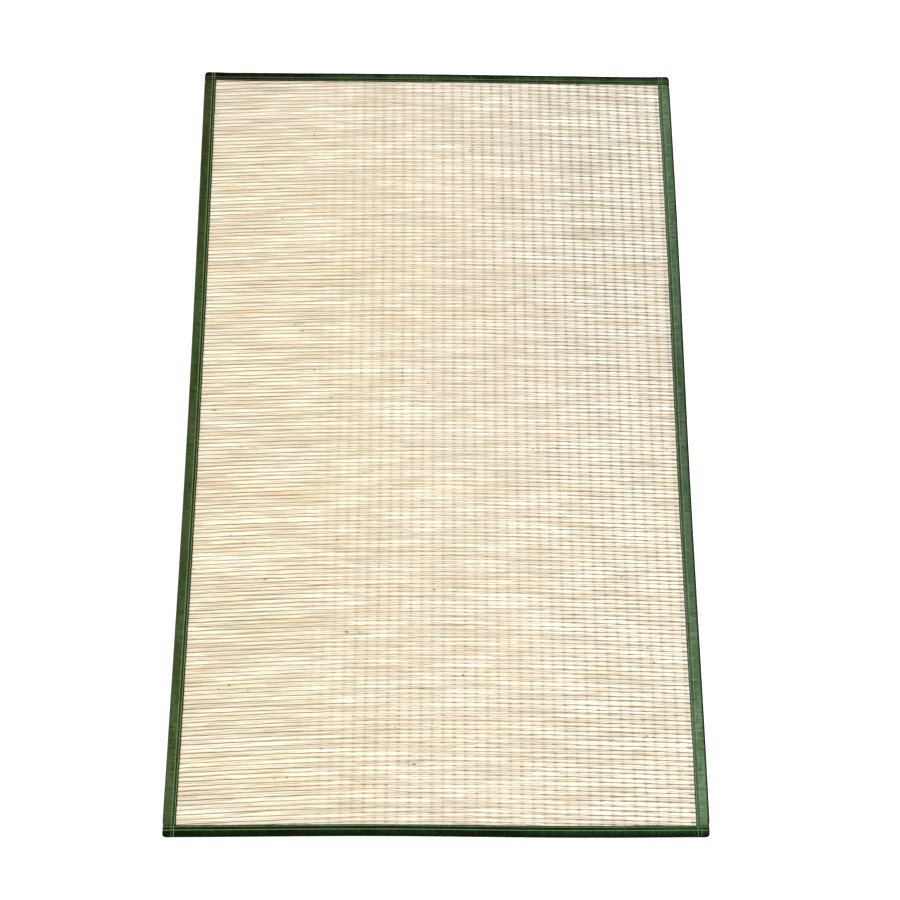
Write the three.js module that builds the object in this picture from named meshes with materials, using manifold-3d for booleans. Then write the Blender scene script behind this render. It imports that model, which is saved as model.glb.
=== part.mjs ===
// A rush mat: flattened stems laid side by side across its width, edged with folded cloth tape.
// Millimetres. X runs along the stems, Y along the mat's length, Z up, and it lies on z = 0.
import * as THREE from "three";
import { mergeVertices } from "three/addons/utils/BufferGeometryUtils.js";
import Module from "manifold-3d";

const wasm = await Module();
wasm.setup();

// Driving sizes
const matWidth = 590;
const matLength = 914;
const cornerRadius = 3.5;
const gap = 0.3;
const fieldMargin = 2.4;

const stemCount = 196;
const endSpread = 0.032;
const stemThickness = 3.4;
const stemRoundness = 0.95;
const stemUnevenness = 0.3;
const spareStems = 4;

const sideTapeWidth = 14.4;
const farTapeWidth = 11.4;
const nearTapeWidth = 12.0;
const tapeThickness = 1.0;
const tuckedThickness = 0.5;
const foldRadius = 2.1;

// The stems bow towards the far end in the middle of the mat, and a little less halfway along it.
const bowDepth = 6.9;
const bowApexX = 29.5;
const bowEase = 0.25;
const bowEaseY = 65;
const bowEaseReach = 150;
const bowSpans = 4;

// Each edge strays from a straight line by a slant and a slow wave: long edges inward, short ones outward.
const edgeWaves = {
  left: { mean: 0.5, slant: 0.0, swing: 1.75, peak: -20, length: 1300 },
  right: { mean: -0.3, slant: 0.0018, swing: 0.6, peak: -70, length: 640 },
  near: { mean: 0.35, slant: 0.0042, swing: 0.7, peak: 160, length: 460 },
  far: { mean: 0.4, slant: -0.0033, swing: 0.4, peak: -20, length: 560 },
};

// The tape's upper face: puffed over the mat's edge, and drawn down along its two stitch rows.
const tapeRelief = [
  { fromInner: 9.0, rise: 0.3 },
  { fromInner: 5.4, rise: 0.15 },
  { fromInner: 4.5, rise: -0.3 },
  { fromInner: 3.6, rise: 0.0 },
  { fromInner: 1.9, rise: 0.0 },
  { fromInner: 1.0, rise: -0.25 },
  { fromInner: 0.4, rise: -0.05 },
  { fromInner: 0.0, rise: -0.4 },
];

// How far an end tape is lifted where it lies over a side tape and its stitch rows, from the corner inward.
const overlapRows = [
  { fromEnd: 0.0, lift: -1.0, roof: 0.9 },
  { fromEnd: 0.7, lift: 0.2, roof: 0.9 },
  { fromEnd: 2.2, lift: 1.0, roof: 0.9 },
  { fromEnd: 5.5, lift: 1.1, roof: 0.9 },
  { fromEnd: 9.0, lift: 0.95, roof: 0.9 },
  { fromEnd: 9.9, lift: 0.6, roof: 0.9 },
  { fromEnd: 10.8, lift: 0.9, roof: 0.9 },
  { fromEnd: 12.5, lift: 0.9, roof: 0.9 },
  { fromEnd: 13.4, lift: 0.65, roof: 0.9 },
  { fromEnd: 15.0, lift: 0.9, roof: 0.9 },
  { fromEnd: 24.0, lift: 0.0, roof: 0.0 },
];
const duckLength = 9;
const duckSteps = 4;
const planStep = 65;
const arcSteps = 2;

// Sizes that follow
const halfWidth = matWidth / 2;
const halfLength = matLength / 2;
const stemWidth = matLength / stemCount;
const underPanel = tapeThickness + gap;
const tapeRoof = stemThickness + gap;
const tapeTop = tapeRoof + tapeThickness;
const tuckedWall = tapeThickness - 0.2;
const tuckedTop = tapeRoof + 0.6;
const tuckedFloor = underPanel + tuckedThickness;
const innerHalfWidth = halfWidth - underPanel;
const innerHalfLength = halfLength - underPanel;
const wellClear = 8;
const wellAbove = 10;

function mix(a, b, t) {
  return a + (b - a) * t;
}

function smooth(t) {
  const held = Math.min(Math.max(t, 0), 1);
  return held * held * (3 - 2 * held);
}

function stray({ mean, slant, swing, peak, length }, at) {
  return mean + slant * at + swing * Math.cos((2 * Math.PI * (at - peak)) / length);
}

// Carries a point of the straight mat to its place on the mat with its real, uneven outline.
function plan(x, y) {
  const left = stray(edgeWaves.left, y);
  const right = stray(edgeWaves.right, y);
  const near = stray(edgeWaves.near, x);
  const far = stray(edgeWaves.far, x);
  return [
    x + mix(left, -right, (x + halfWidth) / matWidth),
    y + mix(-near, far, (y + halfLength) / matLength),
  ];
}

// Turns a closed three.js geometry of the straight mat into a solid of the uneven one.
function solidOf(geometry) {
  const points = geometry.attributes.position;
  for (let i = 0; i < points.count; i++) {
    points.setXY(i, ...plan(points.getX(i), points.getY(i)));
  }
  geometry.deleteAttribute("normal");
  geometry.deleteAttribute("uv");
  const merged = mergeVertices(geometry);
  return new wasm.Manifold(
    new wasm.Mesh({
      numProp: 3,
      vertProperties: merged.attributes.position.array,
      triVerts: new Uint32Array(merged.index.array),
    }),
  );
}

// Extrudes a section through a list of stations; place says where a section point goes at each one.
function loft(section, stations, place) {
  const steps = stations.length - 1;
  const body = new THREE.ExtrudeGeometry(section, {
    steps,
    depth: steps,
    bevelEnabled: false,
    curveSegments: arcSteps,
  });
  const points = body.attributes.position;
  for (let i = 0; i < points.count; i++) {
    const station = stations[Math.round(points.getZ(i))];
    points.setXYZ(i, ...place(points.getX(i), points.getY(i), station));
  }
  return solidOf(body);
}

function block(x0, x1, y0, y1, z0, z1) {
  const spans = [x1 - x0, y1 - y0].map((side) => Math.ceil(side / planStep));
  const box = new THREE.BoxGeometry(x1 - x0, y1 - y0, z1 - z0, ...spans);
  return solidOf(box.translate((x0 + x1) / 2, (y0 + y1) / 2, (z0 + z1) / 2));
}

// A slab of the mat's outline, drawn in by an inset, with its corners rounded about the same centres.
function outlineSlab(insetX, insetY, radius, z0, z1) {
  const w = halfWidth - insetX - radius;
  const l = halfLength - insetY - radius;
  const arcs = [[w, l], [-w, l], [-w, -l], [w, -l]].map(([x, y], quarter) => {
    const from = (quarter * Math.PI) / 2;
    return new THREE.Path().absarc(x, y, radius, from, from + Math.PI / 2).getPoints(arcSteps);
  });
  const points = arcs.flatMap((arc, quarter) => {
    const from = arc[arc.length - 1];
    const to = arcs[(quarter + 1) % arcs.length][0];
    const steps = Math.ceil(from.distanceTo(to) / planStep);
    const edge = [];
    for (let k = 1; k < steps; k++) edge.push(from.clone().lerp(to, k / steps));
    return [...arc, ...edge];
  });
  const depth = z1 - z0;
  const slab = new THREE.ExtrudeGeometry(new THREE.Shape(points), { depth, bevelEnabled: false });
  return solidOf(slab.translate(0, 0, z0));
}

function bow(x, y) {
  const ease = 1 - bowEase * Math.exp(-(((y - bowEaseY) / bowEaseReach) ** 2));
  return -bowDepth * ease * ((x - bowApexX) / halfWidth) ** 2;
}

// One stem is a little wider or flatter than the next.
function unevenness(stem) {
  return 0.6 * Math.sin(2.4 * stem) + 0.4 * Math.sin(0.77 * stem + 1);
}

// Where one stem meets the next: the stems are a tenth wider at the mat's ends than in its middle.
function seamAt(stem) {
  const share = (2 * stem) / stemCount - 1;
  return halfLength * (share + endSpread * (share ** 3 - share)) + stemUnevenness * unevenness(stem);
}

// The section of all the stems, which touch along their sides: ridges above and below.
function stemSection() {
  const first = -spareStems;
  const last = stemCount + spareStems;
  const above = [];
  const below = [];
  for (let stem = first; stem <= last; stem++) {
    const side = seamAt(stem);
    const crest = side + stemWidth / 2;
    const top = stemThickness - 0.1 * (1 + unevenness(stem + 9));
    above.push(new THREE.Vector2(side, stemThickness - stemRoundness));
    below.push(new THREE.Vector2(side, stemRoundness));
    if (stem < last) {
      above.push(new THREE.Vector2(crest, top));
      below.push(new THREE.Vector2(crest, 0));
    }
  }
  return new THREE.Shape([...below, ...above.reverse()]);
}

// The woven rush: thinner under the tapes, and thinnest in the corners where two tapes cross.
function rushPanel() {
  const reach = halfWidth + wellClear;
  const stations = [];
  for (let i = 0; i <= bowSpans; i++) stations.push(mix(-reach, reach, i / bowSpans));
  const stems = loft(stemSection(), stations, (y, z, x) => [x, y + bow(x, y), z]);

  const fieldX = halfWidth - sideTapeWidth - fieldMargin;
  const fieldNear = nearTapeWidth + fieldMargin - halfLength;
  const fieldFar = halfLength - farTapeWidth - fieldMargin;
  const field = block(-fieldX, fieldX, fieldNear, fieldFar, -1, underPanel + gap);
  const nearDuck = nearTapeWidth + duckLength + gap - halfLength;
  const farDuck = halfLength - farTapeWidth - duckLength - gap;
  const underSides = block(-innerHalfWidth, innerHalfWidth, nearDuck, farDuck, underPanel, wellAbove);
  const clearX = halfWidth - sideTapeWidth - gap;
  const underEnds = block(-clearX, clearX, -innerHalfLength, innerHalfLength, underPanel, wellAbove);
  const cornerInset = underPanel + tuckedWall + gap;
  const cornerFloor = tuckedFloor + gap;
  const inCorners = outlineSlab(cornerInset, underPanel, cornerRadius - underPanel, cornerFloor, wellAbove);
  return stems.intersect(field.add(underSides).add(underEnds).add(inCorners));
}

// A folded tape's outer section: u is measured inward from the mat's edge.
function tapeSection(width) {
  const section = new THREE.Shape();
  section.moveTo(width, 0);
  section.lineTo(foldRadius, 0);
  section.absarc(foldRadius, foldRadius, foldRadius, -Math.PI / 2, -Math.PI, true);
  section.absarc(foldRadius, tapeTop - foldRadius, foldRadius, Math.PI, Math.PI / 2, true);
  for (const row of tapeRelief) section.lineTo(width - row.fromInner, tapeTop + row.rise);
  return section;
}

// The room inside the fold, open towards the field.
function pocketSection(width) {
  return new THREE.Shape([
    new THREE.Vector2(tapeThickness, tapeThickness),
    new THREE.Vector2(width + wellClear, tapeThickness),
    new THREE.Vector2(width + wellClear, tapeRoof),
    new THREE.Vector2(tapeThickness, tapeRoof),
  ]);
}

// A side tape, which ducks under the end tapes at both ends. Side is 1 on the right and -1 on the left.
function sideTape(side) {
  const ducked = (y) => {
    const cover = y < 0 ? nearTapeWidth : farTapeWidth;
    return smooth((Math.abs(y) - (halfLength - cover - duckLength)) / (duckLength - 2 * gap));
  };
  const nearDuck = nearTapeWidth + duckLength - halfLength;
  const farDuck = halfLength - farTapeWidth - duckLength;
  const runSteps = Math.round((farDuck - nearDuck) / planStep);
  const stations = [];
  for (let i = 0; i <= runSteps; i++) stations.push(mix(nearDuck, farDuck, i / runSteps));
  for (let i = 1; i <= duckSteps; i++) {
    const beyond = ((duckLength - gap) * i) / duckSteps;
    stations.push(farDuck + beyond);
    stations.unshift(nearDuck - beyond);
  }
  if (side < 0) stations.reverse();
  const ends = [-side * halfLength, side * halfLength];
  const placed = (u, z, y) => [side * (halfWidth - u), y, z];

  const closed = [ends[0], ...stations, ends[1]];
  const bar = loft(tapeSection(sideTapeWidth), closed, (u, z, y) => {
    const t = ducked(y);
    const relief = Math.max(z - tapeTop, 0);
    const lifted = mix(underPanel * t, mix(tapeTop, tuckedTop, t), (z - relief) / tapeTop);
    const drawnIn = underPanel * t * (1 - u / sideTapeWidth);
    return placed(u + drawnIn, lifted + relief * (1 - t), y);
  });
  const through = [ends[0] - side, ...stations, ends[1] + side];
  const pocket = loft(pocketSection(sideTapeWidth), through, (u, z, y) => {
    const t = ducked(y);
    const deeper = u > sideTapeWidth ? 0 : (underPanel + tuckedWall - tapeThickness) * t;
    return placed(u + deeper, z < tapeRoof ? mix(tapeThickness, tuckedFloor, t) : z, y);
  });

  const nearEdge = nearTapeWidth + gap - halfLength;
  const farEdge = halfLength - farTapeWidth - gap;
  const openRun = block(-matWidth, matWidth, nearEdge, farEdge, -1, wellAbove);
  const tucked = outlineSlab(underPanel, underPanel, cornerRadius - underPanel, -1, wellAbove);
  return bar.subtract(pocket).intersect(openRun.add(tucked));
}

// An end tape, which lies over the side tapes and is closed at both corners. End is 1 at the far end.
function endTape(end, width) {
  const run = halfWidth - overlapRows[overlapRows.length - 1].fromEnd;
  const runSteps = Math.round((2 * run) / planStep);
  const stations = overlapRows.map((row) => ({ s: row.fromEnd - halfWidth, ...row }));
  for (let i = 1; i < runSteps; i++) {
    stations.push({ s: mix(-run, run, i / runSteps), lift: 0, roof: 0 });
  }
  for (const row of [...overlapRows].reverse()) stations.push({ s: halfWidth - row.fromEnd, ...row });
  const placed = (u, z, s) => [-end * s, end * (halfLength - u), z];

  const bar = loft(tapeSection(width), stations, (u, z, station) => {
    return placed(u, z + (station.lift * z) / tapeTop, station.s);
  });
  const pocket = loft(pocketSection(width), stations, (u, z, station) => {
    return placed(u, z < tapeRoof ? z : z + station.roof, station.s);
  });
  const wall = tapeThickness;
  const room = outlineSlab(wall, wall, cornerRadius - wall, -1, wellAbove);
  return bar.intersect(outlineSlab(0, 0, cornerRadius, -1, wellAbove)).subtract(pocket.intersect(room));
}

// The finished solid as a named mesh.
function meshOf(name, body, material) {
  const { vertProperties, triVerts } = body.getMesh();
  const geometry = new THREE.BufferGeometry();
  geometry.setAttribute("position", new THREE.BufferAttribute(vertProperties, 3));
  geometry.setIndex(new THREE.BufferAttribute(triVerts, 1));
  geometry.computeVertexNormals();
  const mesh = new THREE.Mesh(geometry, material);
  mesh.name = name;
  return mesh;
}

const rush = new THREE.MeshStandardMaterial({ color: 0xe3d9bf, roughness: 0.7, metalness: 0 });
const tape = new THREE.MeshStandardMaterial({ color: 0x2c3f22, roughness: 0.5, metalness: 0 });

const mat = new THREE.Group();
mat.add(meshOf("rush_panel", rushPanel(), rush));
mat.add(meshOf("side_binding_left", sideTape(-1), tape));
mat.add(meshOf("side_binding_right", sideTape(1), tape));
mat.add(meshOf("end_binding_near", endTape(-1, nearTapeWidth), tape));
mat.add(meshOf("end_binding_far", endTape(1, farTapeWidth), tape));

// The middle of the mat's box is the origin.
const middle = new THREE.Box3().setFromObject(mat).getCenter(new THREE.Vector3());
mat.position.set(-middle.x, -middle.y, 0);

export default mat;
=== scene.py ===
# A rush mat edged with folded green tape, lying flat and seen from above its near end.
# Sizes are in millimetres, from the middle of the mat, and every mesh is made in metres.
import math

import bmesh
import bpy
import numpy as np
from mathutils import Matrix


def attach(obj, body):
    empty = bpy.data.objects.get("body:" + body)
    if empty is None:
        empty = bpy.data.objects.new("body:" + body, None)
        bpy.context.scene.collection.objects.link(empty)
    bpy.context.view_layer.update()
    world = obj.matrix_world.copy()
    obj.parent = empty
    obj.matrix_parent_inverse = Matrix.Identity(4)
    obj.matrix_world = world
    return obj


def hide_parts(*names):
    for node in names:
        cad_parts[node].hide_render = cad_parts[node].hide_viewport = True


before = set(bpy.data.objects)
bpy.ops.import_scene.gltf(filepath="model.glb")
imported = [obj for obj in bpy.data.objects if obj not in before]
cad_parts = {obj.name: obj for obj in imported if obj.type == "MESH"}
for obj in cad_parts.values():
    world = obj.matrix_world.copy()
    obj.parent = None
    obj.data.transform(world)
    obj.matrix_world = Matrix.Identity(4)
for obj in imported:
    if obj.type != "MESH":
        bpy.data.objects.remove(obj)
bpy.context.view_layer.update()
mm = 0.001

# Camera
view = {
    "place": (-1.11, -264.72, 1114.3),
    "turn": (0.2075, -0.0142, -0.0003),
    "lens": 38.84,
    "sensor": 36.0,
}


def addCamera():
    data = bpy.data.cameras.new("camera")
    data.lens = view["lens"]
    data.sensor_width = view["sensor"]
    data.clip_start = 0.01
    camera = bpy.data.objects.new("camera", data)
    camera.location = [mm * v for v in view["place"]]
    camera.rotation_euler = view["turn"]
    bpy.context.collection.objects.link(camera)
    bpy.context.scene.camera = camera


addCamera()
print("camera placed")

# The mat's outline, as uneven as the real one, and the bow of its stems
mat = {
    "width": 590,
    "length": 914,
    "cornerRadius": 4.0,
    "leftTape": 14.4,
    "rightTape": 14.4,
    "nearTape": 12.0,
    "farTape": 11.4,
    "stems": 196,
    "endSpread": 0.032,      # stems are wider at the mat's ends
    "stemTop": 3.4,
    "underPanel": 1.3,       # room under the stems where a tape passes below them
    "underCorner": 2.1,      # and where two tapes do
    "sideFolds": 3.7,        # what the folds of both side tapes take of the width
}
edgeWaves = {
    "left": {"mean": 0.5, "slant": 0.0, "swing": 1.75, "peak": -20, "length": 1300},
    "right": {"mean": -0.3, "slant": 0.0018, "swing": 0.6, "peak": -70, "length": 640},
    "near": {"mean": 0.35, "slant": 0.0042, "swing": 0.7, "peak": 160, "length": 460},
    "far": {"mean": 0.4, "slant": -0.0033, "swing": 0.4, "peak": -20, "length": 560},
}
bowing = {"depth": 6.9, "apexX": 29.5, "ease": 0.25, "easeY": 65, "easeReach": 150}
halfWidth = mat["width"] / 2
halfLength = mat["length"] / 2


def smooth(share):
    held = np.clip(share, 0, 1)
    return held * held * (3 - 2 * held)


def mix(a, b, share):
    return a + (b - a) * share


def bump(at, middle, reach):
    return np.exp(-(((at - middle) / reach) ** 2))


def stray(wave, at):
    turn = 2 * math.pi * (at - wave["peak"]) / wave["length"]
    return wave["mean"] + wave["slant"] * at + wave["swing"] * np.cos(turn)


# Carries points of the straight mat to their places on the uneven one
def plan(x, y):
    left, right = stray(edgeWaves["left"], y), stray(edgeWaves["right"], y)
    near, far = stray(edgeWaves["near"], x), stray(edgeWaves["far"], x)
    acrossShare = (x + halfWidth) / mat["width"]
    alongShare = (y + halfLength) / mat["length"]
    return x + mix(left, -right, acrossShare), y + mix(-near, far, alongShare)


def bow(x, y):
    ease = 1 - bowing["ease"] * bump(y, bowing["easeY"], bowing["easeReach"])
    return -bowing["depth"] * ease * ((x - bowing["apexX"]) / halfWidth) ** 2


# A smooth random line for each row, made of a few waves with random phases
def drift(rng, rows, at, lengths):
    total = 0
    for length in lengths:
        phase = rng.uniform(0, 2 * math.pi, int(rows.max()) + 1)
        stretch = rng.uniform(0.8, 1.25, int(rows.max()) + 1)
        total = total + np.cos(2 * math.pi * at * stretch[rows] / length + phase[rows])
    return total / len(lengths)


# Meshes
def newObject(name, mesh):
    made = bpy.data.objects.new(name, mesh)
    bpy.context.collection.objects.link(made)
    return made


def meshFrom(bm, name):
    mesh = bpy.data.meshes.new(name)
    bm.to_mesh(mesh)
    bm.free()
    return mesh


# Applies the modifiers of an object for good
def settle(made):
    graph = bpy.context.evaluated_depsgraph_get()
    mesh = bpy.data.meshes.new_from_object(made.evaluated_get(graph))
    made.modifiers.clear()
    old = made.data
    made.data = mesh
    bpy.data.meshes.remove(old)


def readPoints(made):
    points = np.zeros(len(made.data.vertices) * 3)
    made.data.vertices.foreach_get("co", points)
    return points.reshape(-1, 3)


# Puts the points of a mesh at places given in millimetres
def placePoints(made, x, y, z):
    points = np.stack([x, y, z], axis=1) * mm
    made.data.vertices.foreach_set("co", points.ravel())
    made.data.update()
    made.data.shade_smooth()


def addAttribute(made, name, kind, values):
    attribute = made.data.attributes.new(name, kind, "POINT")
    field = "vector" if kind == "FLOAT_VECTOR" else "value"
    attribute.data.foreach_set(field, np.asarray(values, np.float32).ravel())


tubeApart = 4  # from one tube to the next before they are placed


# Many equal closed tubes in one mesh, with the tube, the station and the angle of each point
def manyTubes(name, count, stations, sides):
    bm = bmesh.new()
    bmesh.ops.create_cone(bm, cap_ends=True, segments=sides, radius1=1, radius2=1, depth=2)
    long = [e for e in bm.edges if abs(e.verts[0].co.z - e.verts[1].co.z) > 1]
    bmesh.ops.subdivide_edges(bm, edges=long, cuts=stations - 2)
    made = newObject(name, meshFrom(bm, name))
    row = made.modifiers.new("row", "ARRAY")
    row.count = count
    row.use_relative_offset = False
    row.use_constant_offset = True
    row.constant_offset_displace = (tubeApart, 0, 0)
    settle(made)
    points = readPoints(made)
    copy = np.round(points[:, 0] / tubeApart).astype(int)
    station = np.round((points[:, 2] + 1) / 2 * (stations - 1)).astype(int)
    angle = np.arctan2(points[:, 1], points[:, 0] - tubeApart * copy)
    return made, copy, station, angle


# Rush stems
rush = {
    "columns": 48,          # threads that bind the stems
    "columnPitch": 12.3,
    "perPitch": 3,          # stations of a stem from one thread to the next
    "sides": 8,
    "thickness": 3.3,
    "flatness": (0.9, 0.72),
    "middleFlatness": 0.2,  # how much flatter they are in the middle
    "gap": 0.02,            # from a stem's side to the seam with the next, at the left
    "gapSpread": 0.2,
    "squeeze": 0.22,        # how much closer they lie in the middle
    "openLengths": (170, 66, 31),
    "openThinning": 0.25,   # how much thinner a stem is where the gaps are open
    "narrowing": (0.02, 0.12),
    "narrowingZones": (0.0, 1.0, 0.6),
    "unevenness": 0.3,
    "widthSpread": 0.45,    # how far a seam lies from its even place
    "wander": 0.4,
    "wanderLengths": (310, 120, 57, 29),
    "sideStep": 0.22,       # how far stems are pushed aside by turns at the threads
    "sideStepZones": (0.3, 0.0, 0.7),
    "taper": 0.3,
    "tightness": 1.0,       # how much thinner a stem is under a thread
    "tightnessSpread": (0.75, 1.0),
    "lift": 0.12,
    "bands": 3,
    "spare": 3,             # stems beyond the count, whose bowed ends reach under the far tape
    "endGap": 0.4,          # from a stem's end to the cloth of the tape round it
    "seed": 11,
}
firstColumn = -(rush["columns"] - 1) / 2 * rush["columnPitch"]
stationStep = rush["columnPitch"] / rush["perPitch"]
stemStations = (rush["columns"] - 1) * rush["perPitch"] + 3
stemReach = halfLength - mat["underPanel"] - rush["endGap"]
allStems = mat["stems"] + rush["spare"]


def unevenness(stem):
    return 0.6 * np.sin(2.4 * stem) + 0.4 * np.sin(0.77 * stem + 1)


# How far a place lies inside the field, from the inner edges of the side tapes and of the end tapes
def intoField(x, y):
    fromSides = halfWidth - mat["leftTape"] - np.abs(x)
    cover = np.where(y < 0, mat["nearTape"], mat["farTape"])
    return fromSides, halfLength - cover - np.abs(y)


tuckStart, tuckReach = 0.2, 2.2  # where the squeeze to a tape begins and how far it goes on


# Squeezes a height in the field to what fits inside the folded tapes
def underTapes(x, y, z):
    fromSides, fromEnds = intoField(x, y)
    side = 1 - smooth((fromSides - tuckStart) / tuckReach)
    end = 1 - smooth((fromEnds - tuckStart) / tuckReach)
    floor = mat["underPanel"] * np.maximum(side, end)
    floor = floor + (mat["underCorner"] - mat["underPanel"]) * np.minimum(side, end)
    return mix(floor, mat["stemTop"], z / mat["stemTop"])


# Chances for each of the stems, the same wherever they are asked for
def chances(number, *shape):
    return np.random.default_rng(rush["seed"] + number).uniform(0, 1, (allStems + 1, *shape))


# A smooth random line along each stem, from a few waves
def stemDrift(number, stem, x, lengths):
    total = 0
    for place, length in enumerate(lengths):
        phase, stretch = chances(number + place, 2).T
        total = total + np.cos(2 * math.pi * (x * (0.8 + 0.45 * stretch[stem]) / length + phase[stem]))
    return total / len(lengths)


# The line along which one stem meets the next
def seam(line, x):
    share = 2 * line / mat["stems"] - 1
    y = halfLength * (share + mat["endSpread"] * (share ** 3 - share))
    y = y + rush["unevenness"] * unevenness(line)
    y = y + rush["widthSpread"] * (2 * chances(3) - 1)[line]
    y = y + rush["wander"] * stemDrift(10, line, x, rush["wanderLengths"])
    return y + rush["taper"] * (2 * chances(1) - 1)[line] * x / halfWidth


# The stems lie closest in the middle of the mat and swell there between the threads
def middleShare(x):
    return smooth((x + 185) / 120) * (1 - 0.75 * smooth((x - 70) / 120))


def rightShare(x):
    return smooth((x - 60) / 150)


# A value at the left of the mat, with what the middle and the right add to it
def byZone(zones, x):
    left, middle, right = zones
    return left + middle * middleShare(x) + right * rightShare(x)


# Painted shade along a stem's seams, where it meets the next, and where the threads pinch it, and its own
# tone, with painted highlight towards the right, from 0 to 1
stemShade = {
    "seamZones": (0.66, -0.5, 0.7),
    "seamWave": (0.4, 0.7),
    "seamLengths": (260, 74, 29),
    "seamSpread": (0.25, 1.5),
    "dashZones": (0.0, 0.2, 0.5),      # how much a seam fades between the threads
    "boundZones": (0.04, 0.62, 0.76),
    "boundSpread": (0.4, 0.8),
    "farBound": 0.6,                   # how much more painted shade lies at the threads at the far right
    "boundWave": (0.6, 0.4),
    "toneLengths": (520, 240, 110),
    "toneMiddle": 0.38,
    # painted highlight: the stems lighter towards the right
    "rightHighlight": 0.12,
}


# The three marks of each point: painted shade along its seams, painted shade where the threads pinch it,
# and its tone. over is 1 where the thread passes over the stem and -1 where under
def stemMarks(stem, x, y, c, over, bound, tightHere):
    line = np.where(c > 0, stem + 1, stem)
    lineTone = 0.5 + 0.5 * stemDrift(40, line, x, stemShade["seamLengths"])
    low, rise = stemShade["seamWave"]
    dashes = 1 - byZone(stemShade["dashZones"], x) * (over * c > 0) * (1 - bound)
    seamShade = byZone(stemShade["seamZones"], x) * (low + rise * lineTone) * dashes
    seamShade = seamShade * mix(mix(*stemShade["seamSpread"], chances(4)[line]), 1.0, 0.5 * rightShare(x))
    # Painted shade where the threads pinch the stem, stronger at the far right
    low, rise = stemShade["boundSpread"]
    pinchShade = bound * byZone(stemShade["boundZones"], x) * (low + rise * tightHere)
    pinchShade = pinchShade * (1 + stemShade["farBound"] * smooth((y + 220) / 560) * smooth((x + 20) / 80))
    low, rise = stemShade["boundWave"]
    # Own tone at random, lightened towards the right by painted highlight
    tone = 0.5 + 0.5 * stemDrift(50, stem, x, stemShade["toneLengths"])
    tone = tone * (1 - stemShade["toneMiddle"] * middleShare(x)) + stemShade["rightHighlight"] * rightShare(x)
    return np.stack([np.clip(seamShade, 0, 1), pinchShade * (low + rise * lineTone), tone], axis=1)


def stemBand(name, first, count):
    made, copy, station, angle = manyTubes(name, count, stemStations, rush["sides"])
    stem = first + copy
    x = firstColumn + (station - 1) * stationStep
    below = seam(stem, x)
    above = seam(stem + 1, x)
    columnAt = (station - 1) // rush["perPitch"]
    bound = ((station - 1) % rush["perPitch"] == 0).astype(float)
    tightHere = chances(2, rush["columns"] + 2)[stem, columnAt + 1]
    pinch = bound * mix(*rush["tightnessSpread"], tightHere)
    openness = 0.5 + 0.5 * stemDrift(20, stem, x, rush["openLengths"])
    gapHere = rush["gap"] + rush["gapSpread"] * openness ** 2 - rush["squeeze"] * middleShare(x)
    narrowing = mix(*rush["narrowing"], byZone(rush["narrowingZones"], x)) * pinch
    half = (above - below) / 2 * (1 - narrowing) - gapHere
    thick = rush["thickness"] - rush["openThinning"] * openness * (1 - bound) - rush["tightness"] * pinch
    flatY, flatZ = rush["flatness"]
    c, s = np.cos(angle), np.sin(angle)   # 1 or -1 at a stem's sides, and at its top or bottom
    roundY = np.sign(c) * np.abs(c) ** flatY
    roundZ = np.sign(s) * np.abs(s) ** (flatZ - rush["middleFlatness"] * middleShare(x))
    over = np.where((stem + columnAt) % 2 == 0, 1.0, -1.0)
    step = rush["sideStep"] * over * bound * byZone(rush["sideStepZones"], x)
    y = (below + above) / 2 + half * roundY + step
    y = y + bow(x, y)
    z = mat["stemTop"] / 2 - rush["lift"] * over * bound + thick / 2 * roundZ
    z = underTapes(x, y, np.clip(z, 0, mat["stemTop"]))
    placePoints(made, x, y, z)
    addAttribute(made, "stemPlace", "FLOAT_VECTOR", np.stack([x * mm, stem, c], axis=1))
    marks = stemMarks(stem, x, y, c, over, bound, tightHere)
    addAttribute(made, "stemMarks", "FLOAT_VECTOR", marks)
    return made


# Cuts off what reaches past the mat's ends, closes the cuts, and gives the mesh the uneven outline
def trimToMat(made, reach):
    bm = bmesh.new()
    bm.from_mesh(made.data)
    for end in (-1, 1):
        parts = bm.verts[:] + bm.edges[:] + bm.faces[:]
        cut = {"plane_co": (0, end * reach * mm, 0), "plane_no": (0, end, 0), "dist": 1e-7}
        bmesh.ops.bisect_plane(bm, geom=parts, clear_outer=True, **cut)
        openEdges = [e for e in bm.edges if e.is_boundary]
        bmesh.ops.holes_fill(bm, edges=openEdges, sides=0)
    bm.to_mesh(made.data)
    bm.free()
    points = readPoints(made) / mm
    placePoints(made, *plan(points[:, 0], points[:, 1]), points[:, 2])


def rushField():
    bands = []
    edges = np.linspace(0, allStems, rush["bands"] + 1).round().astype(int)
    for name, first, last in zip(("rushNear", "rushMiddle", "rushFar"), edges[:-1], edges[1:]):
        band = stemBand(name, first, last - first)
        trimToMat(band, stemReach)
        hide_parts("rush_panel")
        bands.append(band)
    return bands


rushBands = rushField()
print("stems laid:", mat["stems"])

# Binding threads, over one stem and under the next
thread = {
    "halfWidth": 0.34,
    "halfHeight": 0.2,
    "fullness": 1.2,    # from the middle of its sides to its corners
    "hold": 1.15,       # how far it runs along a stem before it goes to the other face
    "sides": 4,
    "sway": 0.25,
    "swayLength": 21,
    "swayTurn": 2.4,
    "endGap": 1,        # how much sooner than the stems it ends
}


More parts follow.
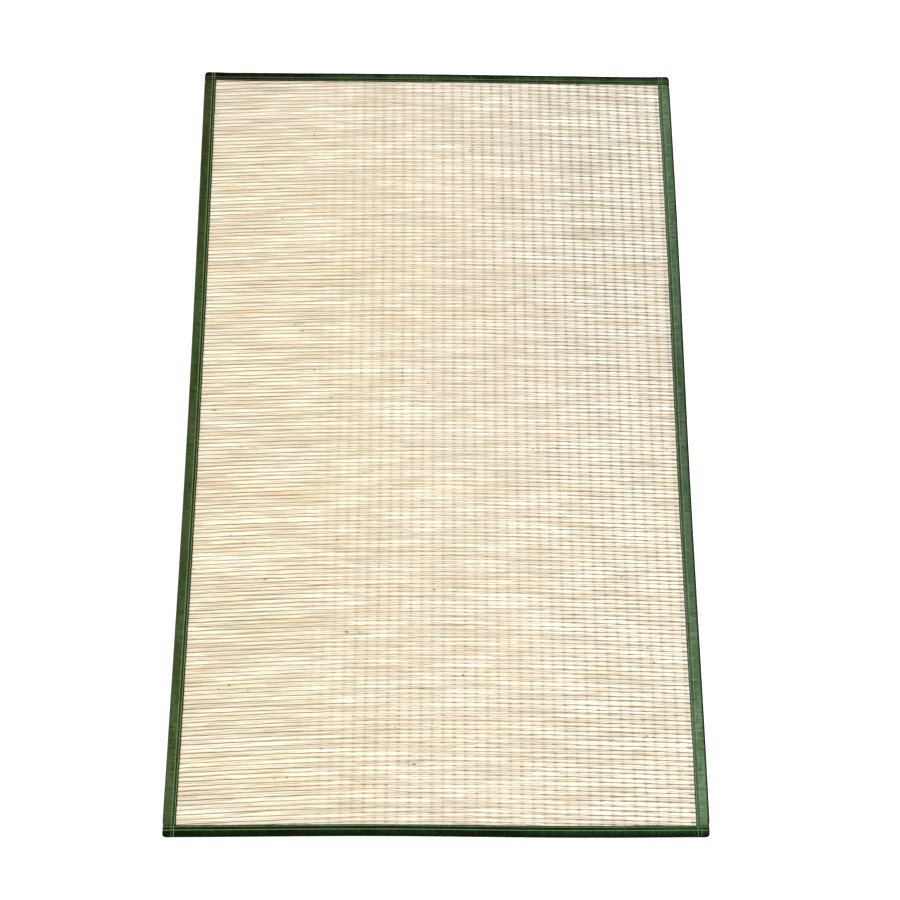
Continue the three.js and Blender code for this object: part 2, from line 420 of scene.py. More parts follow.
def bindingThreads():
    stations = 2 * allStems
    made, column, station, angle = manyTubes("bindingThreads", rush["columns"], stations, thread["sides"])
    stem = station // 2
    side = np.where(station % 2 == 0, -1.0, 1.0)
    x = firstColumn + column * rush["columnPitch"]
    middle = (seam(stem, x) + seam(stem + 1, x)) / 2
    over = np.where((stem + column) % 2 == 0, 1.0, -1.0)
    z = mat["stemTop"] / 2 + over * (mat["stemTop"] / 2 - thread["halfHeight"])
    turned = angle + math.pi / thread["sides"]
    y = middle + side * thread["hold"]
    y = y + bow(x, y)
    sway = thread["sway"] * np.cos(y / thread["swayLength"] + thread["swayTurn"] * column)
    z = z + thread["halfHeight"] * thread["fullness"] * np.sin(turned)
    z = underTapes(x, y, np.clip(z, 0, mat["stemTop"]))
    placePoints(made, x + sway + thread["halfWidth"] * thread["fullness"] * np.cos(turned), y, z)
    trimToMat(made, stemReach - thread["endGap"])
    return made


threads = bindingThreads()
print("threads woven:", rush["columns"])

# Folded cloth tapes
tape = {
    "cloth": 0.42,          # thickness of one layer
    "turnIn": 7.0,          # raw edge turned in under each leg
    "edgeRound": 0.27,
    "fold": 2.35,
    "top": 4.7,
    "duckLength": 4.0,
    "duckInset": 0.6,       # how far a side tape draws in before it goes under an end tape
    "tuckedTop": 4.3,
    "endInset": {"nearTape": 0.65, "farTape": 0.15},
    "stitchRows": {
        "leftTape": (1.5, 4.5), "rightTape": (1.0, 4.5), "nearTape": (1.0, 4.45), "farTape": (0.9, 4.2),
    },
    "sunkenRow": 0.1,       # how deep the first row lies in the cloth of an end tape
    "step": 3.5,
    "shortOfCorner": 3.2,   # a side tape ends this far inside the end tape
    "layerStep": 0.3,       # length of cloth from the upper to the lower leg at the fold
    "cornerTurnIn": 3.0,    # how far the ends of an end tape's raw edges are turned in
    "cornerTurnReach": 8,
    "wrap": 4,              # width of cloth that goes round the edge
}
overlapRows = (
    {"fromEnd": 0.0, "lift": 0.9},
    {"fromEnd": 2.2, "lift": 1.0},
    {"fromEnd": 5.5, "lift": 1.1},
    {"fromEnd": 9.0, "lift": 0.95},
    {"fromEnd": 9.9, "lift": 0.6},
    {"fromEnd": 10.8, "lift": 0.9},
    {"fromEnd": 12.5, "lift": 0.9},
    {"fromEnd": 13.4, "lift": 0.65},
    {"fromEnd": 15.0, "lift": 0.9},
    {"fromEnd": 24.0, "lift": 0.0},
)
cornerStations = (3.6, 5.5, 7.4, 9.0, 9.9, 10.8, 12.5, 13.4, 15.0, 17.5, 20.5)
foldTurns = (0, 23, 46, 68, 90)
tapeSeeds = {"leftTape": 21, "rightTape": 22, "nearTape": 23, "farTape": 24}
tapeRelief = {
    "puff": 0.3,
    "puffLengths": (95, 41),
    "channel": 0.14,        # how deep the cloth lies between its inner edge and the second row
    "rows": (0.2, 0.26),    # and how much deeper at each row
    "pucker": 0.17,
    "puckerLengths": (6.3, 9.1, 4.4),
    "crease": 0.12,
    "creaseLengths": (33, 17),
    "drawnUp": 0.22,        # how far the lower leg is drawn up at the rows
    "sway": 0.22,           # how far the inner edge strays
    "sideSwayLengths": (160, 62, 23),
    "endSwayLengths": (150, 58, 21),
}


# Waves along a tape, the same wherever they are asked for
def along(name, at, lengths, number):
    rng = np.random.default_rng(tapeSeeds[name] * 10 + number)
    at = np.asarray(at, float)
    return drift(rng, np.zeros(at.shape, int), at, lengths)


# Rise of the upper face: puffed over the mat's edge, drawn down and puckered along the stitch rows
def reliefOf(name, inner, at):
    first, second = tape["stitchRows"][name]
    firstDepth, secondDepth = tapeRelief["rows"]
    swell = 1 + 0.5 * along(name, at, tapeRelief["puffLengths"], 1)
    puff = tapeRelief["puff"] * smooth((inner - second - 0.3) / 3.0) * swell
    channel = -tapeRelief["channel"] * smooth((second + 0.4 - inner) / 0.8) * smooth((inner - 0.6) / 0.6)
    rows = -firstDepth * bump(inner, first, 0.45) - secondDepth * bump(inner, second, 0.5)
    near = bump(inner, second + 0.9, 2.1) + 0.6 * bump(inner, first, 1.0)
    pucker = tapeRelief["pucker"] * near * along(name, at + 0.8 * inner, tapeRelief["puckerLengths"], 2)
    creased = along(name, at - 1.6 * inner, tapeRelief["creaseLengths"], 3)
    crease = tapeRelief["crease"] * smooth((inner - second) / 3) * creased
    return puff + channel + rows + pucker + crease


# How far the lower leg is drawn up by the sewing
def drawnUp(name, inner):
    first, second = tape["stitchRows"][name]
    return tapeRelief["drawnUp"] * (bump(inner, first, 0.6) + bump(inner, second, 0.6))


# How far the inner edge of a tape strays from straight
def swayOf(name, at, inner, lengths):
    return tapeRelief["sway"] * along(name, at, lengths, 4) * smooth(1 - inner / 6)


def liftOf(fromEnd):
    return np.interp(fromEnd, [r["fromEnd"] for r in overlapRows], [r["lift"] for r in overlapRows])


# The way across a tape, from one raw edge round the mat's edge to the other:
# distance from its inner edge, side of the fold, and how far below the upper face it lies
def acrossTape(name):
    width, fold, edge = mat[name], tape["fold"], tape["edgeRound"]
    first, second = tape["stitchRows"][name]
    inner = list(np.linspace(tape["turnIn"], edge, 3))
    drop = [2 * edge] * 3
    for turn in np.linspace(-90, 90, 5)[1:]:
        inner.append(edge - edge * math.cos(math.radians(turn)))
        drop.append(edge * (1 - math.sin(math.radians(turn))))
    stops = [0.6, first, first + 0.5, (first + second) / 2]
    stops += [second - 0.5, second, second + 0.5, second + 1.2]
    stops += list(np.linspace(second + 1.2, width - fold, 5)[1:])
    stops += [width - fold * (1 - math.cos(math.radians(turn))) for turn in foldTurns[-2::-1]]
    inner += stops
    drop += [0.0] * len(stops)
    side = [1.0] * len(inner)
    inner += inner[-2::-1]
    drop += drop[-2::-1]
    side += [-1.0] * (len(side) - 1)
    return np.array(inner), np.array(drop), np.array(side)


# How a sheet closes round the mat's edge: 0 on the outline and 1 away from it
def closing(fromOutline):
    share = np.clip(1 - fromOutline / tape["fold"], 0, 1)
    return np.sqrt(1 - share * share)


# A flat strip of cloth as a grid, with the number of each point across it and its station
def clothStrip(name, inner, stations):
    bm = bmesh.new()
    bmesh.ops.create_grid(bm, x_segments=len(inner) - 1, y_segments=len(stations) - 1, size=1)
    made = newObject(name, meshFrom(bm, name))
    points = readPoints(made)
    across = np.round((points[:, 0] + 1) / 2 * (len(inner) - 1)).astype(int)
    station = np.round((points[:, 1] + 1) / 2 * (len(stations) - 1)).astype(int)
    return made, across, station


# The developed place on the cloth as a UV map in metres
def mapCloth(made, u, v):
    corners = np.zeros(len(made.data.loops), int)
    made.data.loops.foreach_get("vertex_index", corners)
    layer = made.data.uv_layers.new(name="cloth")
    flat = np.stack([u[corners] * mm, v[corners] * mm], axis=1)
    layer.data.foreach_set("uv", flat.astype(np.float32).ravel())


# How far along the cloth each point of the way across a tape lies
def developed(inner, drop):
    step = np.hypot(np.diff(inner), np.diff(drop))
    step = np.where(step < 1e-6, tape["layerStep"], step)
    return np.concatenate([[0], np.cumsum(step)])


def finishTape(made, u, at, inner, width):
    mapCloth(made, u, at)
    addAttribute(made, "fromFold", "FLOAT", np.clip((width - inner) * mm, 0, 1))
    body = made.modifiers.new("cloth", "SOLIDIFY")
    body.thickness = tape["cloth"] * mm
    body.offset = 0
    settle(made)
    made.data.shade_smooth()


# How far a side tape has drawn together to go under an end tape
def tuckedShare(y):
    cover = np.where(y < 0, mat["nearTape"], mat["farTape"])
    return smooth((np.abs(y) - (halfLength - cover - tape["duckLength"])) / tape["duckLength"])


def underEndTape(y):
    cover = np.where(y < 0, mat["nearTape"], mat["farTape"])
    return smooth((np.abs(y) - (halfLength - cover)) / 3.0)


# Heights of the middle of the cloth in the upper and in the lower leg of a side tape
def sideTapeHeights(name, inner, y):
    t = tuckedShare(y)
    half = tape["cloth"] / 2
    top = mix(tape["top"], tape["tuckedTop"], t) - half + reliefOf(name, inner, y) * (1 - t)
    return top, mat["underPanel"] * t + half + drawnUp(name, inner) * (1 - t)


def sideTape(name, side):
    width = mat[name]
    innerPath, dropPath, sidePath = acrossTape(name)
    reach = halfLength - tape["shortOfCorner"]
    stations = list(np.linspace(-reach, reach, int(2 * reach / tape["step"]) + 1))
    made, across, station = clothStrip(name, innerPath, stations)
    y = np.array(stations)[station]
    inner, drop, level = innerPath[across], dropPath[across], sidePath[across]
    t = tuckedShare(y)
    top, bottom = sideTapeHeights(name, inner, y)
    middle = (top + bottom) / 2
    sway = swayOf(name, y, inner, tapeRelief["sideSwayLengths"]) * (1 - t)
    inset = tape["duckInset"] * t + (mat["underPanel"] - tape["duckInset"]) * underEndTape(y)
    fromEdge = width - inner + sway + inset * (inner / width)
    rise = (top - middle - drop * (1 - 0.5 * t)) * closing(width - inner)
    placePoints(made, *plan(side * (halfWidth - fromEdge), y), middle + level * rise)
    u = developed(innerPath, dropPath)[across]
    if side < 0:
        made.data.flip_normals()
    finishTape(made, u, y, inner, width)
    return made


# The same for an end tape, which is lifted where it crosses a side tape
def endTapeHeights(name, inner, x):
    half = tape["cloth"] / 2
    top = tape["top"] - half + reliefOf(name, inner, x) + liftOf(halfWidth - np.abs(x))
    return top, half + drawnUp(name, inner)


# Upper face of an end tape as the sewing meets it, also where it rounds off at the mat's edge
def endTapeFace(name, inner, x):
    top, bottom = endTapeHeights(name, inner, x)
    fromSide = halfWidth - tape["endInset"][name] - np.abs(x)
    outline = np.minimum(fromSide, mat[name] - inner)
    middle = (top + bottom) / 2
    return middle + (top - middle) * closing(outline) + tape["cloth"] / 2


def endTape(name, end):
    width, radius, fold = mat[name], mat["cornerRadius"], tape["fold"]
    innerPath, dropPath, sidePath = acrossTape(name)
    fromEnd = [fold * (1 - math.cos(math.radians(turn))) for turn in foldTurns]
    fromEnd += cornerStations
    run = halfWidth - overlapRows[-1]["fromEnd"]
    middleRun = list(np.linspace(-run, run, int(2 * run / tape["step"]) + 1))
    stations = [d - halfWidth for d in fromEnd] + middleRun + [halfWidth - d for d in reversed(fromEnd)]
    made, across, station = clothStrip(name, innerPath, stations)
    s = np.array(stations)[station]
    inner, drop, level = innerPath[across], dropPath[across], sidePath[across]
    top, bottom = endTapeHeights(name, inner, s)
    middle = (top + bottom) / 2
    nearEnd = halfWidth - np.abs(s) < tape["cornerTurnReach"]
    turnedIn = tape["cornerTurnIn"] * drop / (2 * tape["edgeRound"]) * nearEnd
    s = np.sign(s) * (np.abs(s) - turnedIn)
    sway = swayOf(name, s, inner, tapeRelief["endSwayLengths"])
    a = np.clip(radius - (halfWidth - np.abs(s)), 0, radius)
    b = np.clip(radius - (width - inner), 0, radius)
    length = np.maximum(np.hypot(a, b), 1e-9)
    scale = np.maximum(a, b) / length
    inCorner = (a > 0) & (b > 0)
    fromSide = np.where(inCorner, radius - a * scale, halfWidth - np.abs(s))
    fromEdge = np.where(inCorner, radius - b * scale, width - inner)
    outline = np.where(inCorner, radius - np.maximum(a, b), np.minimum(fromSide, fromEdge))
    x = np.sign(s) * (halfWidth - fromSide - tape["endInset"][name])
    y = end * (halfLength - fromEdge - sway)
    rise = (top - middle - drop) * closing(outline)
    placePoints(made, *plan(x, y), middle + level * rise)
    u = developed(innerPath, dropPath)[across]
    if end > 0:
        made.data.flip_normals()
    finishTape(made, u, s, inner, width)
    return made


tapes = {
    "leftTape": sideTape("leftTape", -1),
    "rightTape": sideTape("rightTape", 1),
    "nearTape": endTape("nearTape", -1),
    "farTape": endTape("farTape", 1),
}
tapeNodes = {
    "leftTape": "side_binding_left",
    "rightTape": "side_binding_right",
    "nearTape": "end_binding_near",
    "farTape": "end_binding_far",
}
print("tapes folded:", len(tapes))

# Sewing: small stitches in two rows along each tape, above and below
sewing = {
    "pitch": 3.2,
    "length": 3.15,
    "halfWidth": 0.28,
    "halfHeight": 0.2,
    "fullness": 1.25,            # from the middle of its sides to its corners
    "sides": 4,
    "stations": 4,
    "endSize": 0.8,              # share of its thickness at its ends
    "dip": 0.13,                 # how deep the ends go into the cloth
    "proud": 0.12,
    "offFloor": 0.02,
    "sideRowEnds": (0.9, 0.7),   # from the mat's ends to the rows of the side tapes
    "endRowEnds": (1.4, 1.2),
    "overEnd": 0.4,              # how far outside an end tape a stitch already lies on it
}


# One row of stitches. heights gives the middle of the thread over a place along the row
def stitchRow(name, starts, route, heights, upward):
    made, copy, station, angle = manyTubes(name, len(starts), sewing["stations"], sewing["sides"])
    share = station / (sewing["stations"] - 1)
    at = np.array(starts)[copy] + share * sewing["length"]
    atEnd = (station == 0) | (station == sewing["stations"] - 1)
    fade = np.where(atEnd, sewing["endSize"], 1.0)
    turned = angle + math.pi / sewing["sides"]
    aside = sewing["halfWidth"] * sewing["fullness"] * fade * np.cos(turned)
    lifted = sewing["halfHeight"] * sewing["fullness"] * fade * np.sin(turned)
    sunk = sewing["dip"] * (1 - np.sin(math.pi * np.clip(share, 0, 1))) ** 1.5
    x, y = route(at, aside)
    z = heights(at) + lifted - upward * (sunk - sewing["proud"])
    placePoints(made, *plan(x, y), z)
    return made


def joined(name, parts):
    for part in bpy.context.selected_objects:
        part.select_set(False)
    for part in parts:
        part.select_set(True)
    bpy.context.view_layer.objects.active = parts[0]
    bpy.ops.object.join()
    parts[0].name = name
    return parts[0]


# Where the stitches of a row start, from end to end of the mat
def rowStarts(reach, ends):
    start, stop = ends
    return np.arange(-reach + start, reach - stop - sewing["length"], sewing["pitch"])


# Height of the stitches on the underside
def underFace(at):
    return np.full(at.shape, sewing["halfHeight"] + sewing["offFloor"])


# Stitches of a side tape: on the tape itself, and over the end tapes out to the mat's ends
def sideStitches(name, side):
    width = mat[name]
    parts = []
    starts = rowStarts(halfLength, sewing["sideRowEnds"])
    middles = starts + sewing["length"] / 2
    cover = np.where(middles < 0, mat["nearTape"], mat["farTape"])
    overEnd = np.abs(middles) > halfLength - cover - sewing["overEnd"]
    for number, inner in enumerate(tape["stitchRows"][name]):
        def route(at, aside):
            return side * (halfWidth - width + inner + aside), at

        def onTape(at):
            return sideTapeHeights(name, np.full(at.shape, inner), at)[0] + tape["cloth"] / 2

        def onEnds(at):
            x = np.full(at.shape, side * (halfWidth - width + inner))
            near = endTapeFace("nearTape", np.abs(at) - halfLength + mat["nearTape"], x)
            far = endTapeFace("farTape", np.abs(at) - halfLength + mat["farTape"], x)
            return np.where(at < 0, near, far)

        parts.append(stitchRow(f"{name}Row{number}", starts[~overEnd], route, onTape, 1))
        parts.append(stitchRow(f"{name}Over{number}", starts[overEnd], route, onEnds, 1))
        parts.append(stitchRow(f"{name}Below{number}", starts, route, underFace, 0))
    return joined(f"{name}Sewing", parts)


def endStitches(name, end):
    width = mat[name]
    parts = []
    starts = rowStarts(halfWidth, sewing["endRowEnds"])
    for number, inner in enumerate(tape["stitchRows"][name]):
        def route(at, aside):
            return at, end * (halfLength - width + inner + aside)

        def onTape(at):
            return endTapeFace(name, np.full(at.shape, inner), at) - tape["sunkenRow"] * (number == 0)

        parts.append(stitchRow(f"{name}Row{number}", starts, route, onTape, 1))
        parts.append(stitchRow(f"{name}Below{number}", starts, route, underFace, 0))
    return joined(f"{name}Sewing", parts)


stitches = {
    "leftTape": sideStitches("leftTape", -1),
    "rightTape": sideStitches("rightTape", 1),
    "nearTape": endStitches("nearTape", -1),
    "farTape": endStitches("farTape", 1),
}
print("tapes sewn")


# One socket of a material, so that maths on it is written as an expression
class Signal:
    def __init__(self, finish, socket):
        self.finish = finish
        self.socket = socket

    def maths(self, operation, first, second):
        return self.finish.add("ShaderNodeMath", {"operation": operation}, {0: first, 1: second})

    def __add__(self, other):
        return self.maths("ADD", self, other)

    def __radd__(self, other):
        return self.maths("ADD", other, self)

    def __sub__(self, other):
        return self.maths("SUBTRACT", self, other)

    def __rsub__(self, other):
        return self.maths("SUBTRACT", other, self)

    def __mul__(self, other):
        return self.maths("MULTIPLY", self, other)

    def __rmul__(self, other):
        return self.maths("MULTIPLY", other, self)

    def __abs__(self):
        return self.maths("ABSOLUTE", self, 0.0)


# One material and the nodes that it is made of
class Finish:
    def __init__(self, name):
        self.material = bpy.data.materials.new(name)
        self.material.use_nodes = True
        self.tree = self.material.node_tree
        self.shader = self.tree.nodes["Principled BSDF"]

    def fill(self, node, sockets):
        for key, value in sockets.items():
            if isinstance(value, Signal):
                self.tree.links.new(value.socket, node.inputs[key])
            else:
                node.inputs[key].default_value = value

    # Any node, from its type, its settings, and the values or links of its sockets
    def add(self, kind, settings, sockets, output=0):
        node = self.tree.nodes.new(kind)
        for key, value in settings.items():
            setattr(node, key, value)
        self.fill(node, sockets)
        return Signal(self, node.outputs[output])

    def attribute(self, name, output):
        return self.add("ShaderNodeAttribute", {"attribute_name": name}, {}, output)

    def split(self, vector):
        first = self.add("ShaderNodeSeparateXYZ", {}, {0: vector})
        return [Signal(self, output) for output in first.socket.node.outputs]

    def vector(self, x, y, z):
        return self.add("ShaderNodeCombineXYZ", {}, {0: x, 1: y, 2: z})

    def noise(self, vector, detail=2.0, rough=0.5):
        sockets = {"Vector": vector, "Scale": 1.0, "Detail": detail, "Roughness": rough}
        return self.add("ShaderNodeTexNoise", {}, sockets)

    # From 0 to 1 as a value goes from low to high
    def between(self, value, low, high):
        sockets = {"Value": value, "From Min": low, "From Max": high}
        return self.add("ShaderNodeMapRange", {"interpolation_type": "SMOOTHSTEP"}, sockets)

    def blend(self, first, second, share):
        sockets = {0: share, 6: first, 7: second}
        return self.add("ShaderNodeMix", {"data_type": "RGBA"}, sockets, 2)

    def tinted(self, first, second, share):
        sockets = {0: share, 6: first, 7: second}
        return self.add("ShaderNodeMix", {"data_type": "RGBA", "blend_type": "MULTIPLY"}, sockets, 2)

    def wave(self, operation, turn):
        return self.add("ShaderNodeMath", {"operation": operation}, {0: turn})

    def objectPlace(self):
        return self.add("ShaderNodeTexCoord", {}, {}, "Object")

    def bump(self, height, strength, distance):
        sockets = {"Height": height, "Strength": strength, "Distance": distance}
        return self.add("ShaderNodeBump", {}, sockets)


# A colour as it looks on a screen, from 0 to 255, made into the light that a shader works in
def colour(*screen):
    shares = [v / 255 for v in screen]
    light = [share / 12.92 if share < 0.04045 else ((share + 0.055) / 1.055) ** 2.4 for share in shares]
    return (*light, 1.0)


rushFinish = {
    "pale": colour(206, 198, 180),
    "bright": colour(226, 220, 206),
    "warm": colour(255, 254, 248),
    # tint of painted shade over the far right and far left of the field
    "farShade": colour(243, 245, 248),
    # painted shade along the seams where the stems meet, with the stems' own reddening
    "seam": colour(172, 157, 133),
    "darkSeam": colour(112, 100, 82),
    "redSeam": colour(168, 116, 78),
    # painted shade where the threads pinch the stems
    "bound": colour(166, 158, 146),
    "line": colour(226, 219, 208),
    "crease": colour(182, 171, 152),
    "streak": colour(216, 203, 182),
    "patches": (
        {"colour": colour(222, 180, 136), "from": 0.62, "amount": 0.8, "seed": 3},
        {"colour": colour(205, 198, 136), "from": 0.62, "amount": 0.6, "seed": 13},
        {"colour": colour(226, 200, 194), "from": 0.62, "amount": 0.55, "seed": 23},
        {"colour": colour(190, 183, 166), "from": 0.6, "amount": 0.5, "seed": 33},
    ),
    "band": colour(212, 194, 166),
    "speck": colour(78, 56, 34),
    "roughness": (0.45, 0.65),
}
rushGrain = {
    "fibres": {"scale": (16, 7.7, 4), "seed": 0, "detail": 3.0, "rough": 0.6},
    "lines": {"scale": (24, 6.3, 9), "seed": 50, "detail": 2.0, "rough": 0.7},
    "streaks": {"scale": (6, 3.9, 3.2), "seed": 30, "detail": 2.0, "rough": 0.6},
    "patches": {"scale": (10, 5.13, 1.1), "seed": 0, "detail": 2.0, "rough": 0.5},
    "creasePlace": {"scale": (12, 4.4, 0), "seed": 70, "detail": 1.0, "rough": 0.5},
    "creased": {"scale": (24, 2.2, 0), "seed": 90, "detail": 1.0, "rough": 0.5},
    "specks": {"scale": (150, 2.9, 0.8), "seed": 80, "detail": 1.0, "rough": 0.5},
    "speckArea": {"scale": (11, 4.7, 0), "seed": 60, "detail": 1.0, "rough": 0.5},
}


# Noise that follows the stems. place is how far along a stem, which stem, and where round it
def stemNoise(finish, place, name, seed=0):
    grain = rushGrain[name]
    parts = [part * scale for part, scale in zip(place, grain["scale"])]
    spot = finish.vector(parts[0], parts[1], parts[2] + (grain["seed"] + seed))
    return finish.noise(spot, grain["detail"], grain["rough"])


def rushMaterial():
    look = rushFinish
    finish = Finish("flattenedRush")
    place = finish.split(finish.attribute("stemPlace", "Vector"))
    along, stem, around = place
    seamShade, pinchShade, tone = finish.split(finish.attribute("stemMarks", "Vector"))
    x, y = finish.split(finish.objectPlace())[:2]
    firstThread = firstColumn * mm
    turn = 2 * math.pi / (rush["columnPitch"] * mm)
    fibres = stemNoise(finish, place, "fibres")
    lines = stemNoise(finish, place, "lines")
    streaks = stemNoise(finish, place, "streaks")
    bands = finish.noise(finish.vector(x * 1.1, y * 34, 4.0), 3.0)
    leftness = finish.between(x, 0.02, -0.2)
    base = finish.blend(look["pale"], look["bright"], finish.between(tone + fibres * 0.5, 0.4, 1.05))
    base = finish.blend(base, look["band"], finish.between(bands, 0.5, 0.68) * 0.3)
    base = finish.tinted(base, look["warm"], leftness)
    # Painted shade over the far right and the far left of the field
    farRight = finish.between(y, -0.15, 0.2) * finish.between(x, -0.05, 0.2)
    base = finish.tinted(base, look["farShade"], farRight)
    farLeft = finish.between(y, 0.3, 0.42) * finish.between(x, 0.2, -0.1)
    base = finish.tinted(base, look["farShade"], farLeft * 0.6)
    for patch in look["patches"]:
        spread = stemNoise(finish, place, "patches", patch["seed"])
        share = finish.between(spread, patch["from"], patch["from"] + 0.09) * patch["amount"]
        share = share * (leftness * 0.65 + 0.35)
        base = finish.blend(base, patch["colour"], share)
    base = finish.tinted(base, look["line"], finish.between(lines, 0.48, 0.6) * 0.9)
    base = finish.tinted(base, look["streak"], finish.between(streaks, 0.5, 0.68) * 0.5)
    creaseAt = stemNoise(finish, place, "creasePlace") * 3.2 - 1.6
    creased = finish.between(stemNoise(finish, place, "creased"), 0.38, 0.5)
    crease = finish.between(abs(around - creaseAt), 0.26, 0.02) * creased
    base = finish.tinted(base, look["crease"], crease * 0.9)
    # Painted shade at the sides of each stem, along the seams where the stems meet; the reddened
    # stretches are the stems' own colour
    side = finish.between(abs(around), 0.7, 1.0)
    seamColour = finish.blend(look["seam"], look["darkSeam"], seamShade)
    reddened = finish.noise(finish.vector(along * 5, (stem + around * 0.5) * 6.1, 110.0), 1.0)
    seamColour = finish.blend(seamColour, look["redSeam"], finish.between(reddened, 0.56, 0.66) * 0.6)
    base = finish.blend(base, seamColour, side * (seamShade * 0.8 + 0.1))
    # Painted shade where the threads pinch the stems
    nearThread = finish.between(finish.wave("COSINE", (along - firstThread) * turn), 0.3, 0.95)
    atSide = finish.between(abs(around), 0.35, 0.95) * 0.8 + 0.2
    base = finish.tinted(base, look["bound"], pinchShade * nearThread * atSide)
    speck = finish.between(stemNoise(finish, place, "specks"), 0.68, 0.74)
    speck = speck * finish.between(stemNoise(finish, place, "speckArea"), 0.63, 0.68)
    base = finish.blend(base, look["speck"], speck * 0.8)
    low, high = look["roughness"]
    finish.fill(finish.shader, {
        "Base Color": base,
        "Roughness": finish.between(fibres, 0.2, 0.9) * (high - low) + low,
        "Specular IOR Level": 0.3,
        "Normal": finish.bump(fibres * 0.5 + lines * 0.5, 0.35, 0.0004),
    })
    return finish.material


threadFinish = {"binding": colour(216, 205, 182), "bindingGrain": 900, "sewingGrain": 1200, "darker": 0.7}


def threadMaterial(name, tone, twistScale):
    finish = Finish(name)
    sockets = {0: finish.objectPlace(), 3: twistScale}
    fuzz = finish.noise(finish.add("ShaderNodeVectorMath", {"operation": "SCALE"}, sockets), 3.0)
    darker = (*[threadFinish["darker"] * v for v in tone[:3]], 1.0)
    finish.fill(finish.shader, {
        "Base Color": finish.blend(darker, tone, finish.between(fuzz, 0.3, 0.6)),
        "Roughness": 0.6,
        "Normal": finish.bump(fuzz, 0.3, 0.0002),
    })
    return finish.material


# The four tapes are one green cloth; their dark and light greens differ by painted light, the right tape
# lighter and the end tapes darker. Each also holds colours of painted shade over the sunken channel by
# its inner edge and at its outer rounded edge, and tints of painted sheen and shade along its length.
tapeFinish = {
    "leftTape": {
        "dark": colour(50, 66, 26),
        "light": colour(66, 82, 42),
        "tick": colour(76, 92, 50),
        "strip": colour(176, 180, 160),
        "sheenTrend": ((0.98, 0.98, 1.35, 1), (0.7, 0.75, 0.88, 1), (0.68, 0.62, 0.7, 1)),
        "edge": colour(56, 66, 42),
        "edgeShadeBand": (0.0, 0.0026),
        "thread": colour(118, 143, 94),
    },
    "rightTape": {
        "dark": colour(62, 88, 57),
        "light": colour(80, 104, 74),
        "tick": colour(100, 124, 94),
        "strip": colour(205, 210, 205),
        "sheenTrend": ((1.31, 1.22, 1.3, 1), (0.68, 0.66, 0.72, 1), (1.12, 0.98, 1.14, 1)),
        "edge": colour(12, 20, 10),
        "edgeShadeBand": (0.0012, 0.0034),
        "thread": colour(110, 134, 94),
    },
    "nearTape": {
        "dark": colour(8, 20, 5),
        "light": colour(16, 38, 20),
        "tick": colour(26, 50, 26),
        "strip": colour(255, 255, 250),
        "sheenTrend": ((1.1, 1.05, 0.4, 1), (0.9, 0.85, 0.7, 1), (1.9, 2.2, 2.0, 1)),
        "edge": colour(10, 18, 7),
        "edgeShadeBand": (0.0004, 0.0065),
        "thread": colour(116, 142, 92),
    },
    "farTape": {
        "dark": colour(16, 30, 9),
        "light": colour(38, 58, 34),
        "tick": colour(56, 74, 44),
        "strip": colour(225, 228, 225),
        "sheenTrend": ((0.45, 0.24, 0.2, 1), (1.45, 1.22, 1.25, 1), (1.05, 1.1, 1.12, 1)),
        "edge": colour(10, 18, 7),
        "edgeShadeBand": (0.0026, 0.0042),
        "thread": colour(88, 108, 66),
    },
    "worn": colour(190, 196, 190),
    "hem": colour(150, 150, 140),
    "weave": 0.00055,
    "weaveShade": (0.72, 0.72, 0.72, 1),
    "roughness": 0.6,
}
tapeGrain = {
    "patches": {"scale": (90, 22), "seed": 0.0, "detail": 3.0},
    "slub": {"scale": (1500, 60), "seed": 5.0, "detail": 2.0},
    "ticks": {"scale": (110, 360), "seed": 2.0, "detail": 2.0},
}


# Noise on the cloth, which runs across and along the tape
def clothNoise(finish, across, along, name):
    grain = tapeGrain[name]
    wide, long = grain["scale"]
    return finish.noise(finish.vector(across * wide, along * long, grain["seed"]), grain["detail"])


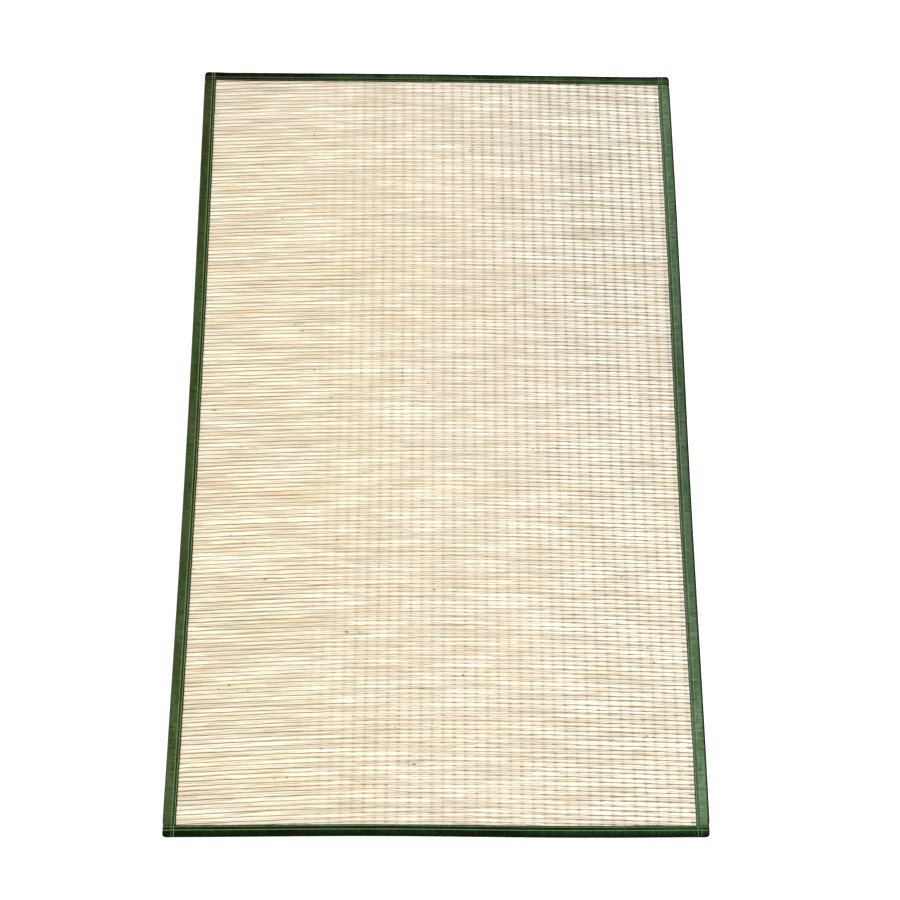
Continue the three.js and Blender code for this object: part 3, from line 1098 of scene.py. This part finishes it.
def tapeMaterial(name):
    look = tapeFinish
    dark, light = look[name]["dark"], look[name]["light"]
    finish = Finish(name + "Cloth")
    cloth = finish.add("ShaderNodeUVMap", {"uv_map": "cloth"}, {})
    u, v = finish.split(cloth)[:2]
    turn = 2 * math.pi / look["weave"]
    weave = finish.wave("SINE", u * turn) * finish.wave("SINE", v * turn) * 0.5 + 0.5
    patches = clothNoise(finish, u, v, "patches")
    slub = clothNoise(finish, u, v, "slub")
    base = finish.blend(dark, light, finish.between(patches, 0.35, 0.68))
    base = finish.tinted(base, look["weaveShade"], finish.between(weave, 0.1, 0.7) * 0.6)
    base = finish.blend(base, light, finish.between(slub, 0.6, 0.75) * 0.5)
    ticks = clothNoise(finish, u, v, "ticks")
    base = finish.blend(base, look[name]["tick"], finish.between(ticks, 0.56, 0.68) * 0.5)
    base = finish.tinted(base, look["worn"], finish.between(ticks, 0.46, 0.32) * 0.8)
    reach = (halfWidth if name in ("nearTape", "farTape") else halfLength) * mm
    # Painted sheen and shade along each tape, lighter or darker from one end to the other
    start, middle, end = look[name]["sheenTrend"]
    sheenTrend = finish.blend(start, middle, finish.between(v, -reach, 0.0))
    sheenTrend = finish.blend(sheenTrend, end, finish.between(v, 0.0, reach))
    base = finish.tinted(base, sheenTrend, 1.0)
    fold = finish.attribute("fromFold", "Fac")
    # Painted shade over the sunken channel, from the tape's inner edge out to its second row
    secondRow = mat[name] - tape["stitchRows"][name][1]
    strip = finish.between(fold, (secondRow + 0.2) * mm, (secondRow + 1.2) * mm)
    base = finish.tinted(base, look[name]["strip"], strip)
    hem = finish.between(fold, (mat[name] - 0.8) * mm, (mat[name] - 0.1) * mm)
    base = finish.tinted(base, look["hem"], hem * 0.8)
    # Painted shade along the tape's outer edge, where it rounds down to the floor
    base = finish.blend(look[name]["edge"], base, finish.between(fold, *look[name]["edgeShadeBand"]))
    height = weave * 0.6 + slub * 0.4
    finish.fill(finish.shader, {
        "Base Color": base,
        "Roughness": look["roughness"],
        "Specular IOR Level": 0.01,
        "Normal": finish.bump(height, 0.4, 0.0002),
    })
    return finish.material


def dress(made, material):
    made.data.materials.clear()
    made.data.materials.append(material)


rushLook = rushMaterial()
for band in rushBands:
    dress(band, rushLook)
dress(threads, threadMaterial("bindingThread", threadFinish["binding"], threadFinish["bindingGrain"]))
for name in tapes:
    dress(tapes[name], tapeMaterial(name))
    tone = tapeFinish[name]["thread"]
    dress(stitches[name], threadMaterial(name + "Thread", tone, threadFinish["sewingGrain"]))
print("materials made")

# Floor and light
studio = {
    "floorTone": colour(250, 250, 249),
    "floorSize": 12,
    "floorDrop": 0.0003,
    "world": 0.78,
    "key": {"place": (1.0, 0.45, 2.35), "size": 1.0, "power": 46},
    "top": {"place": (-0.5, -1.1, 2.3), "size": 1.8, "power": 35},
}


def addFloor():
    bm = bmesh.new()
    bmesh.ops.create_grid(bm, x_segments=1, y_segments=1, size=studio["floorSize"])
    bmesh.ops.translate(bm, verts=bm.verts, vec=(0, 0, -studio["floorDrop"]))
    floor = newObject("floor", meshFrom(bm, "floor"))
    finish = Finish("paleFloor")
    sockets = {"Base Color": studio["floorTone"], "Roughness": 0.9, "Specular IOR Level": 0.1}
    finish.fill(finish.shader, sockets)
    dress(floor, finish.material)


def addLight(name, light):
    data = bpy.data.lights.new(name, "AREA")
    data.size = light["size"]
    data.energy = light["power"]
    lamp = bpy.data.objects.new(name, data)
    lamp.location = light["place"]
    aim = -lamp.location
    lamp.rotation_euler = aim.to_track_quat("-Z", "Y").to_euler()
    bpy.context.collection.objects.link(lamp)


addFloor()
addLight("key", studio["key"])
addLight("top", studio["top"])
world = bpy.data.worlds.new("studio")
world.use_nodes = True
background = world.node_tree.nodes["Background"]
background.inputs["Color"].default_value = (1, 1, 1, 1)
background.inputs["Strength"].default_value = studio["world"]
bpy.context.scene.world = world
bpy.context.scene.view_settings.view_transform = "Standard"
bpy.context.scene.view_settings.look = "None"

# What each piece moves with, and which parts of the model the tapes take the place of
for band in rushBands:
    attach(band, "root")
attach(threads, "root")
for name, made in tapes.items():
    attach(made, "root")
    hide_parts(tapeNodes[name])
    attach(stitches[name], "root")
    run = mat["width"] if name in ("nearTape", "farTape") else mat["length"] - 2 * tape["shortOfCorner"]
    run * mm
